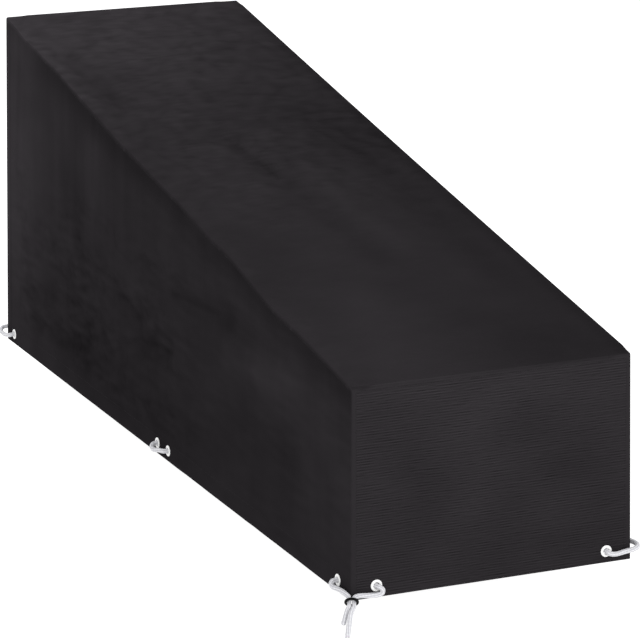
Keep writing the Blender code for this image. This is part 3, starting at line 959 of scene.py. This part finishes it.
def wall_sheet(wall):
    """A flat grid whose upright edges turn round the corners on the sides."""
    is_side = wall in SIDES
    half = LENGTH / 2 if is_side else WIDTH / 2 - LAP - SEAM_GAP
    bm, place, toned = new_sheet(*WALL_COARSE[wall])
    for vert in bm.verts:
        vert.co = wall_corner(wall, vert.co.x * 2 * half, vert.co.y + 0.5)
    if is_side:
        uprights = edges_where(bm, lambda co: abs(co.y) > half - GAP)
        add_lap(bm, uprights, OUTWARD[wall])
        # A bevel rounds only the ends of a seam whose two sides face opposite ways.
        bmesh.ops.recalc_face_normals(bm, faces=bm.faces)
        round_edges(bm, uprights)
    refine(bm)
    turn_outward(bm, OUTWARD[wall])
    for vert in bm.verts:
        x, y, share = vert.co
        along = y if is_side else x
        top = slope_height(y) - LAP - SEAM_GAP
        up = top * share
        inside = min(half - abs(along), top - up)
        fade = fraction(inside, 0.0, FOLD_MARGIN)
        fade *= fraction(up, HEM_MARGIN, 2 * HEM_MARGIN)
        fine, tone = wall_relief(wall, along, up)
        fold = ridges(FOLDS[wall], along, up) * fade
        # Painted shade in the fold valleys, painted light on the crests.
        tone += FOLD_PAINTED_SHADING * fold
        if is_side:
            turned = fraction(WIDTH / 2 - abs(x), 0.0, TURN)
            end = painted_light_at("front" if y < 0.0 else "back", x, up)
            tone = tone * (1.0 - turned) + end * turned
        vert.co = drape(Vector((x, y, up))) + OUTWARD[wall] * (fold + fine)
        vert[toned] = tone
        vert[place] = (up, y, RIB_SHARE[wall]) if is_side else (x, up, RIB_SHARE[wall])
    return bm


# %% Punching the eyelet holes
HOLE_STEPS = 32
PLUG_RADIUS = BARREL_RADIUS + GAP
PLUG_DEPTH = 12 * CLOTH
LEAST_TONE = 0.3  # the cut leaves a hole's new rim blank, under this tone
CLOTH_SHARP = math.radians(60)


def hole_cutter(wall):
    """One hidden mesh with a round plug for each eyelet of a wall."""
    bm = bmesh.new()
    for holder, _, along in EYELETS:
        if holder == wall:
            place = upright_matrix(*wall_frame(wall, along, EYELET_UP))
            sizes = {"radius1": PLUG_RADIUS, "radius2": PLUG_RADIUS, "depth": PLUG_DEPTH}
            bmesh.ops.create_cone(
                bm, cap_ends=True, segments=HOLE_STEPS, matrix=place, **sizes
            )
    return in_scene(f"cutter_{wall}", as_mesh(bm))


def as_cloth(bm, wall=None):
    """Thickens a sheet inwards, punches its holes and keeps the result."""
    raw = in_scene("raw cloth", as_mesh(bm))
    solid = raw.modifiers.new("cloth thickness", "SOLIDIFY")
    solid.thickness = CLOTH
    solid.offset = -1.0
    solid.use_even_offset = True
    helpers = [raw]
    if wall:
        cut = raw.modifiers.new("eyelet holes", "BOOLEAN")
        cut.operation = "DIFFERENCE"
        cut.solver = "EXACT"
        cut.object = hole_cutter(wall)
        helpers.append(cut.object)
    graph = bpy.context.evaluated_depsgraph_get()
    mesh = bpy.data.meshes.new_from_object(raw.evaluated_get(graph))
    for helper in helpers:
        bpy.data.objects.remove(helper, do_unlink=True)
    mesh.shade_smooth()
    mesh.set_sharp_from_angle(angle=CLOTH_SHARP)
    tones = mesh.attributes["cloth_tone"].data
    places = mesh.attributes["cloth_place"].data
    is_side = wall in SIDES
    for vert, tone, place in zip(mesh.vertices, tones, places):
        if wall and tone.value < LEAST_TONE:
            x, y, up = vert.co.x, vert.co.y, vert.co.z + MOUNT_UP
            tone.value = wall_relief(wall, y if is_side else x, up)[1]
            place.vector = (up, y, 0.0) if is_side else (x, up, 0.0)
    return mesh


# %% All five panels
panels = {"top": add_piece("slope_cloth", as_cloth(top_sheet()), "cloth", "top_panel")}
print("slope_cloth", count_triangles(panels["top"]), "triangles")
for wall in ("front", "back", "left", "right"):
    mesh = as_cloth(wall_sheet(wall), wall)
    panels[wall] = add_piece(f"{wall}_cloth", mesh, "cloth", f"{wall}_panel")
    print(mesh.name, count_triangles(panels[wall]), "triangles")

# %% [markdown]
# ## Stitching
# Every lap and the hem are held by a row of lockstitches. On black cloth they
# hardly show from afar, but close up a seam without them looks glued. Each
# stitch is a stretched icosphere with few faces, as there are thousands.

# %% One stitch
STITCH_LENGTH = 0.0032
STITCH_PITCH = 0.0046
THREAD_RADIUS = 0.00038
STITCH_LIFT = 0.0001


def stitch_row(bm, wall, start, end):
    """Stitches from one (along, up) place on a wall to another."""
    run = Vector(end) - Vector(start)
    count = int(run.length / STITCH_PITCH)
    step = run.normalized() * PROBE / 2
    for k in range(count):
        along, up = Vector(start) + run * ((k + 0.5) / count)
        here, normal = wall_frame(wall, along, up)
        ahead = (wall_frame(wall, along + step.x, up + step.y)[0] - here).normalized()
        across = normal.cross(ahead).normalized()
        turn = Matrix((ahead, across, normal)).transposed().to_4x4()
        rise = OUTWARD[wall] * wall_relief(wall, along, up)[0] + normal * STITCH_LIFT
        sizes = Matrix.Diagonal((STITCH_LENGTH / 2, THREAD_RADIUS, THREAD_RADIUS, 1))
        matrix = Matrix.Translation(here + rise) @ turn @ sizes
        bmesh.ops.create_icosphere(bm, subdivisions=1, radius=1.0, matrix=matrix)


# %% All the seams
SEAM_DOWN = 0.0096  # the lap's stitches lie this far from the rolled edge
HEM_STITCH_UP = 0.0395
SEAM_SHORT = 0.003  # an upright seam ends this far from the hem and the lap
side_half = LENGTH / 2 - 0.008
end_half = WIDTH / 2 - SEAM_DOWN
hem_half = WIDTH / 2 - LAP - 0.004
seams = []
for wall in SIDES:
    low, high = [slope_height(y) - SEAM_DOWN for y in (-side_half, side_half)]
    seams.append((wall, (-side_half, low), (side_half, high)))
    seams.append((wall, (-side_half, HEM_STITCH_UP), (side_half, HEM_STITCH_UP)))
for wall, height in (("front", FRONT_HEIGHT), ("back", BACK_HEIGHT)):
    high = height - SEAM_DOWN
    seams.append((wall, (-end_half, high), (end_half, high)))
    seams.append((wall, (-hem_half, HEM_STITCH_UP), (hem_half, HEM_STITCH_UP)))
    for x in (-end_half, end_half):
        seams.append((wall, (x, SEAM_SHORT), (x, height - LAP - SEAM_SHORT)))
thread_bm = bmesh.new()
for wall, start, end in seams:
    stitch_row(thread_bm, wall, start, end)
stitches = add_piece("seam_stitches", as_mesh(thread_bm), "cloth")
print("stitches", count_triangles(stitches) // 20, "of 20 triangles")

# %% [markdown]
# ## Materials
# All patterns have real sizes. The cloth's read the attribute cloth_place: its
# first number runs along the ribs, its second across them, and its third says
# how strong they are.

# %% Helpers for colours and nodes
def hex_colour(text):
    """An sRGB hex value as the linear colour that a shader wants."""
    channels = [int(text[i : i + 2], 16) / 255 for i in (1, 3, 5)]
    linear = [
        c / 12.92 if c <= 0.04045 else ((c + 0.055) / 1.055) ** 2.4 for c in channels
    ]
    return (*linear, 1.0)


def new_material(name):
    material = bpy.data.materials.new(name)
    material.use_nodes = True
    material.node_tree.nodes.clear()
    return material, material.node_tree


def add_node(tree, kind, inputs=(), **settings):
    """Adds a node: settings by name, inputs as a value or another's socket."""
    node = tree.nodes.new("ShaderNode" + kind)
    for name, value in settings.items():
        setattr(node, name, value)
    for name, value in dict(inputs).items():
        if isinstance(value, bpy.types.NodeSocket):
            tree.links.new(value, node.inputs[name])
        else:
            node.inputs[name].default_value = value
    return node


def noise_value(tree, vector, scale, detail):
    inputs = {"Vector": vector, "Scale": scale, "Detail": detail}
    return add_node(tree, "TexNoise", inputs).outputs["Fac"]


def two_tone(tree, share, dark, light):
    """The blend of two close colours."""
    inputs = {"Factor": share, 6: hex_colour(dark), 7: hex_colour(light)}
    return add_node(tree, "Mix", inputs, data_type="RGBA").outputs[2]


def bumped(tree, height, distance, strength):
    """The normal of a surface whose height is given."""
    inputs = {"Height": height, "Distance": distance, "Strength": strength}
    return add_node(tree, "Bump", inputs).outputs[0]


def finish_material(tree, colour, roughness, normal, sockets):
    """The shader with its output. Sockets names any further inputs."""
    inputs = {"Base Color": colour, "Roughness": roughness, "Normal": normal}
    shader = add_node(tree, "BsdfPrincipled", inputs | dict(sockets))
    add_node(tree, "OutputMaterial", {"Surface": shader.outputs[0]})


# %% [markdown]
# ### Coated woven sheet
# The cloth is a black polyester sheet, woven with a rib and coated inside. Its
# threads are matt, and handling has left faint paler patches. Its colour is
# scaled by the painted light and shade in cloth_tone and by the painted
# shading of the ribs.

# %% Black woven sheet
THREAD_PITCH = 0.0012  # the real threads are 0.6 mm apart, drawn at twice that
RIB_HEIGHT = 0.00045
# How strongly the ribs' colour paints shade in their grooves and light on their crests.
RIB_PAINTED_SHADING = 0.3
WEAVE_HEIGHT = 0.00004
CRUMPLE_HEIGHT = 0.0006


def cloth_material():
    material, tree = new_material("black polyester sheet, rib woven and coated")
    kept = add_node(tree, "Attribute", attribute_name="cloth_place")
    place = kept.outputs["Vector"]
    along, across, strength = add_node(tree, "SeparateXYZ", {0: place}).outputs

    def maths(operation, first, second=0.0):
        inputs = {0: first, 1: second}
        return add_node(tree, "Math", inputs, operation=operation).outputs[0]

    def wave(way, pitch):
        return maths("SINE", maths("MULTIPLY", way, math.tau / pitch))

    def stretched_noise(long, wide, detail):
        inputs = {"Vector": place, "Scale": (1 / long, 1 / wide, 1.0)}
        vector = add_node(tree, "Mapping", inputs).outputs[0]
        return noise_value(tree, vector, 1.0, detail)

    broken = maths("SUBTRACT", stretched_noise(0.022, 0.007, 1.0), 0.38)
    broken = maths("MULTIPLY", broken, 1.8)
    rib = maths("MULTIPLY", wave(across, RIB_PITCH), broken)
    rib = maths("MULTIPLY", rib, strength)
    weave = maths("MULTIPLY", wave(along, THREAD_PITCH), wave(across, THREAD_PITCH))
    crumple = maths("MULTIPLY", stretched_noise(0.022, 0.012, 3.0), CRUMPLE_HEIGHT)
    weave = maths("MULTIPLY", weave, WEAVE_HEIGHT)
    height = maths("ADD", maths("MULTIPLY", rib, RIB_HEIGHT), weave)
    height = maths("ADD", height, crumple)
    patches = two_tone(tree, stretched_noise(0.16, 0.11, 4.0), "#201E20", "#262426")
    tone = add_node(tree, "Attribute", attribute_name="cloth_tone").outputs["Fac"]
    # Painted shade in the rib grooves and painted light on the crests; cloth_tone brings the
    # panels' painted light and shade.
    ribbed = maths("ADD", maths("MULTIPLY", rib, RIB_PAINTED_SHADING), 1.0)
    inputs = {0: patches, "Scale": maths("MULTIPLY", tone, ribbed)}
    colour = add_node(tree, "VectorMath", inputs, operation="SCALE").outputs[0]
    rough = maths("MULTIPLY", stretched_noise(0.03, 0.02, 2.0), 0.16)
    rough = maths("ADD", rough, 0.6)
    matt = {"Specular IOR Level": 0.0}
    normal = bumped(tree, height, 1.0, 1.0)
    finish_material(tree, colour, rough, normal, matt)
    return material


cloth = cloth_material()
for panel in panels.values():
    panel.data.materials.append(cloth)
print(cloth.name, len(cloth.node_tree.nodes), "nodes")

# %% [markdown]
# ### Rope, eyelets, ring and thread
# The rope is bright white knitted polyester, with painted shade that greys its
# grooves. The eyelets are moulded white nylon, a little glossy. The ring is
# moulded black nylon and the thread is black polyester.

# %% White knitted rope
FIBRES_ROUND = 46.0
FIBRE_LENGTH = 0.0022


def rope_material():
    material, tree = new_material("white polyester rope, knitted")
    knit = add_node(tree, "Attribute", attribute_name="knit").outputs["Fac"]
    uv = add_node(tree, "TexCoord").outputs["UV"]
    inputs = {"Vector": uv, "Scale": (FIBRES_ROUND, rope_length / FIBRE_LENGTH, 1.0)}
    fuzz = noise_value(tree, add_node(tree, "Mapping", inputs).outputs[0], 1.0, 2.0)
    # Painted shade: grey in the knit's grooves, white on its crests.
    colour = two_tone(tree, knit, "#9E9EA4", "#D9D9DC")
    soft = {"Specular IOR Level": 0.35, "Sheen Weight": 0.15}
    normal = bumped(tree, fuzz, 0.0004, 0.6)
    finish_material(tree, colour, 0.8, normal, soft)
    return material


# %% Moulded nylon and thread
def moulded_material(name, dark, light, roughness, grain, sockets=()):
    """Two close tones and a fine grain, both on Object coordinates."""
    material, tree = new_material(name)
    place = add_node(tree, "TexCoord").outputs["Object"]
    speckle = noise_value(tree, place, 1 / grain, 3.0)
    colour = two_tone(tree, speckle, dark, light)
    normal = bumped(tree, speckle, 0.0001, 0.4)
    finish_material(tree, colour, roughness, normal, sockets)
    return material


rope.data.materials.append(rope_material())
white_nylon = moulded_material("white nylon, moulded", "#DEDEDD", "#EEEEED", 0.34, 0.0016)
dull = {"Specular IOR Level": 0.08}
black_nylon = moulded_material(
    "black nylon, moulded", "#040404", "#070707", 0.5, 0.0012, dull
)
black_thread = moulded_material(
    "black polyester thread, twisted", "#201E20", "#2A282A", 0.8, 0.0008, dull
)
for eyelet in eyelets:
    eyelet.data.materials.append(white_nylon)
ring.data.materials.append(black_nylon)
stitches.data.materials.append(black_thread)
print("materials", sorted(material.name for material in bpy.data.materials))

# %% [markdown]
# ## Studio
# The cover stands over a light table, a large pale sheet of opal acrylic that
# glows, so shadows stay faint. The light is soft and comes from all sides.

# %% Floor
FLOOR_DROP = 0.085  # the hem hangs this far above the floor
FLOOR_SIZE = 30.0
floor_bm = bmesh.new()
bmesh.ops.create_grid(floor_bm, x_segments=2, y_segments=2, size=FLOOR_SIZE)
bmesh.ops.translate(floor_bm, verts=floor_bm.verts, vec=(0.0, 0.0, -FLOOR_DROP))
floor = in_scene("light_table", as_mesh(floor_bm))
table_glow = {"Emission Color": hex_colour("#FFFFFF"), "Emission Strength": 0.96}
opal = moulded_material(
    "opal acrylic, satin", "#8A8A8A", "#909090", 0.9, 0.02, table_glow
)
floor.data.materials.append(opal)
floor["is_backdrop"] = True

# %% Lights
world = bpy.data.worlds.new("white studio")
world.use_nodes = True
bpy.context.scene.world = world
background = world.node_tree.nodes["Background"]
background.inputs["Color"].default_value = hex_colour("#FFFFFF")

# Each soft box: place, what it points at, width, power.
SOFT_BOXES = (
    ((-0.4, 2.2, 2.6), (0.0, 1.0, 0.1), 1.6, 40.0),
    ((-0.8, 4.5, 2.0), (0.0, 0.9, 0.1), 1.8, 30.0),
    ((-3.0, -2.2, 0.4), (0.0, -1.0, -0.2), 1.2, 10.0),
    ((0.9, -4.6, 0.9), (0.0, -1.0, -0.4), 1.6, 60.0),
)
for number, (place, target, width, power) in enumerate(SOFT_BOXES):
    light = bpy.data.lights.new("soft box", "AREA")
    light.size = width
    light.energy = power
    box = in_scene(f"soft box {number}", light)
    box.location = place
    way = Vector(target) - Vector(place)
    box.rotation_euler = way.to_track_quat("-Z", "Y").to_euler()
bpy.context.scene.view_settings.view_transform = "Standard"

# %% [markdown]
# ## Size of the scene
# The box that the visible pieces fill, without the floor, is printed.

# %% Visual box
low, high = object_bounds()
print("visual box", [round(value, 3) for value in (*low, *high)])
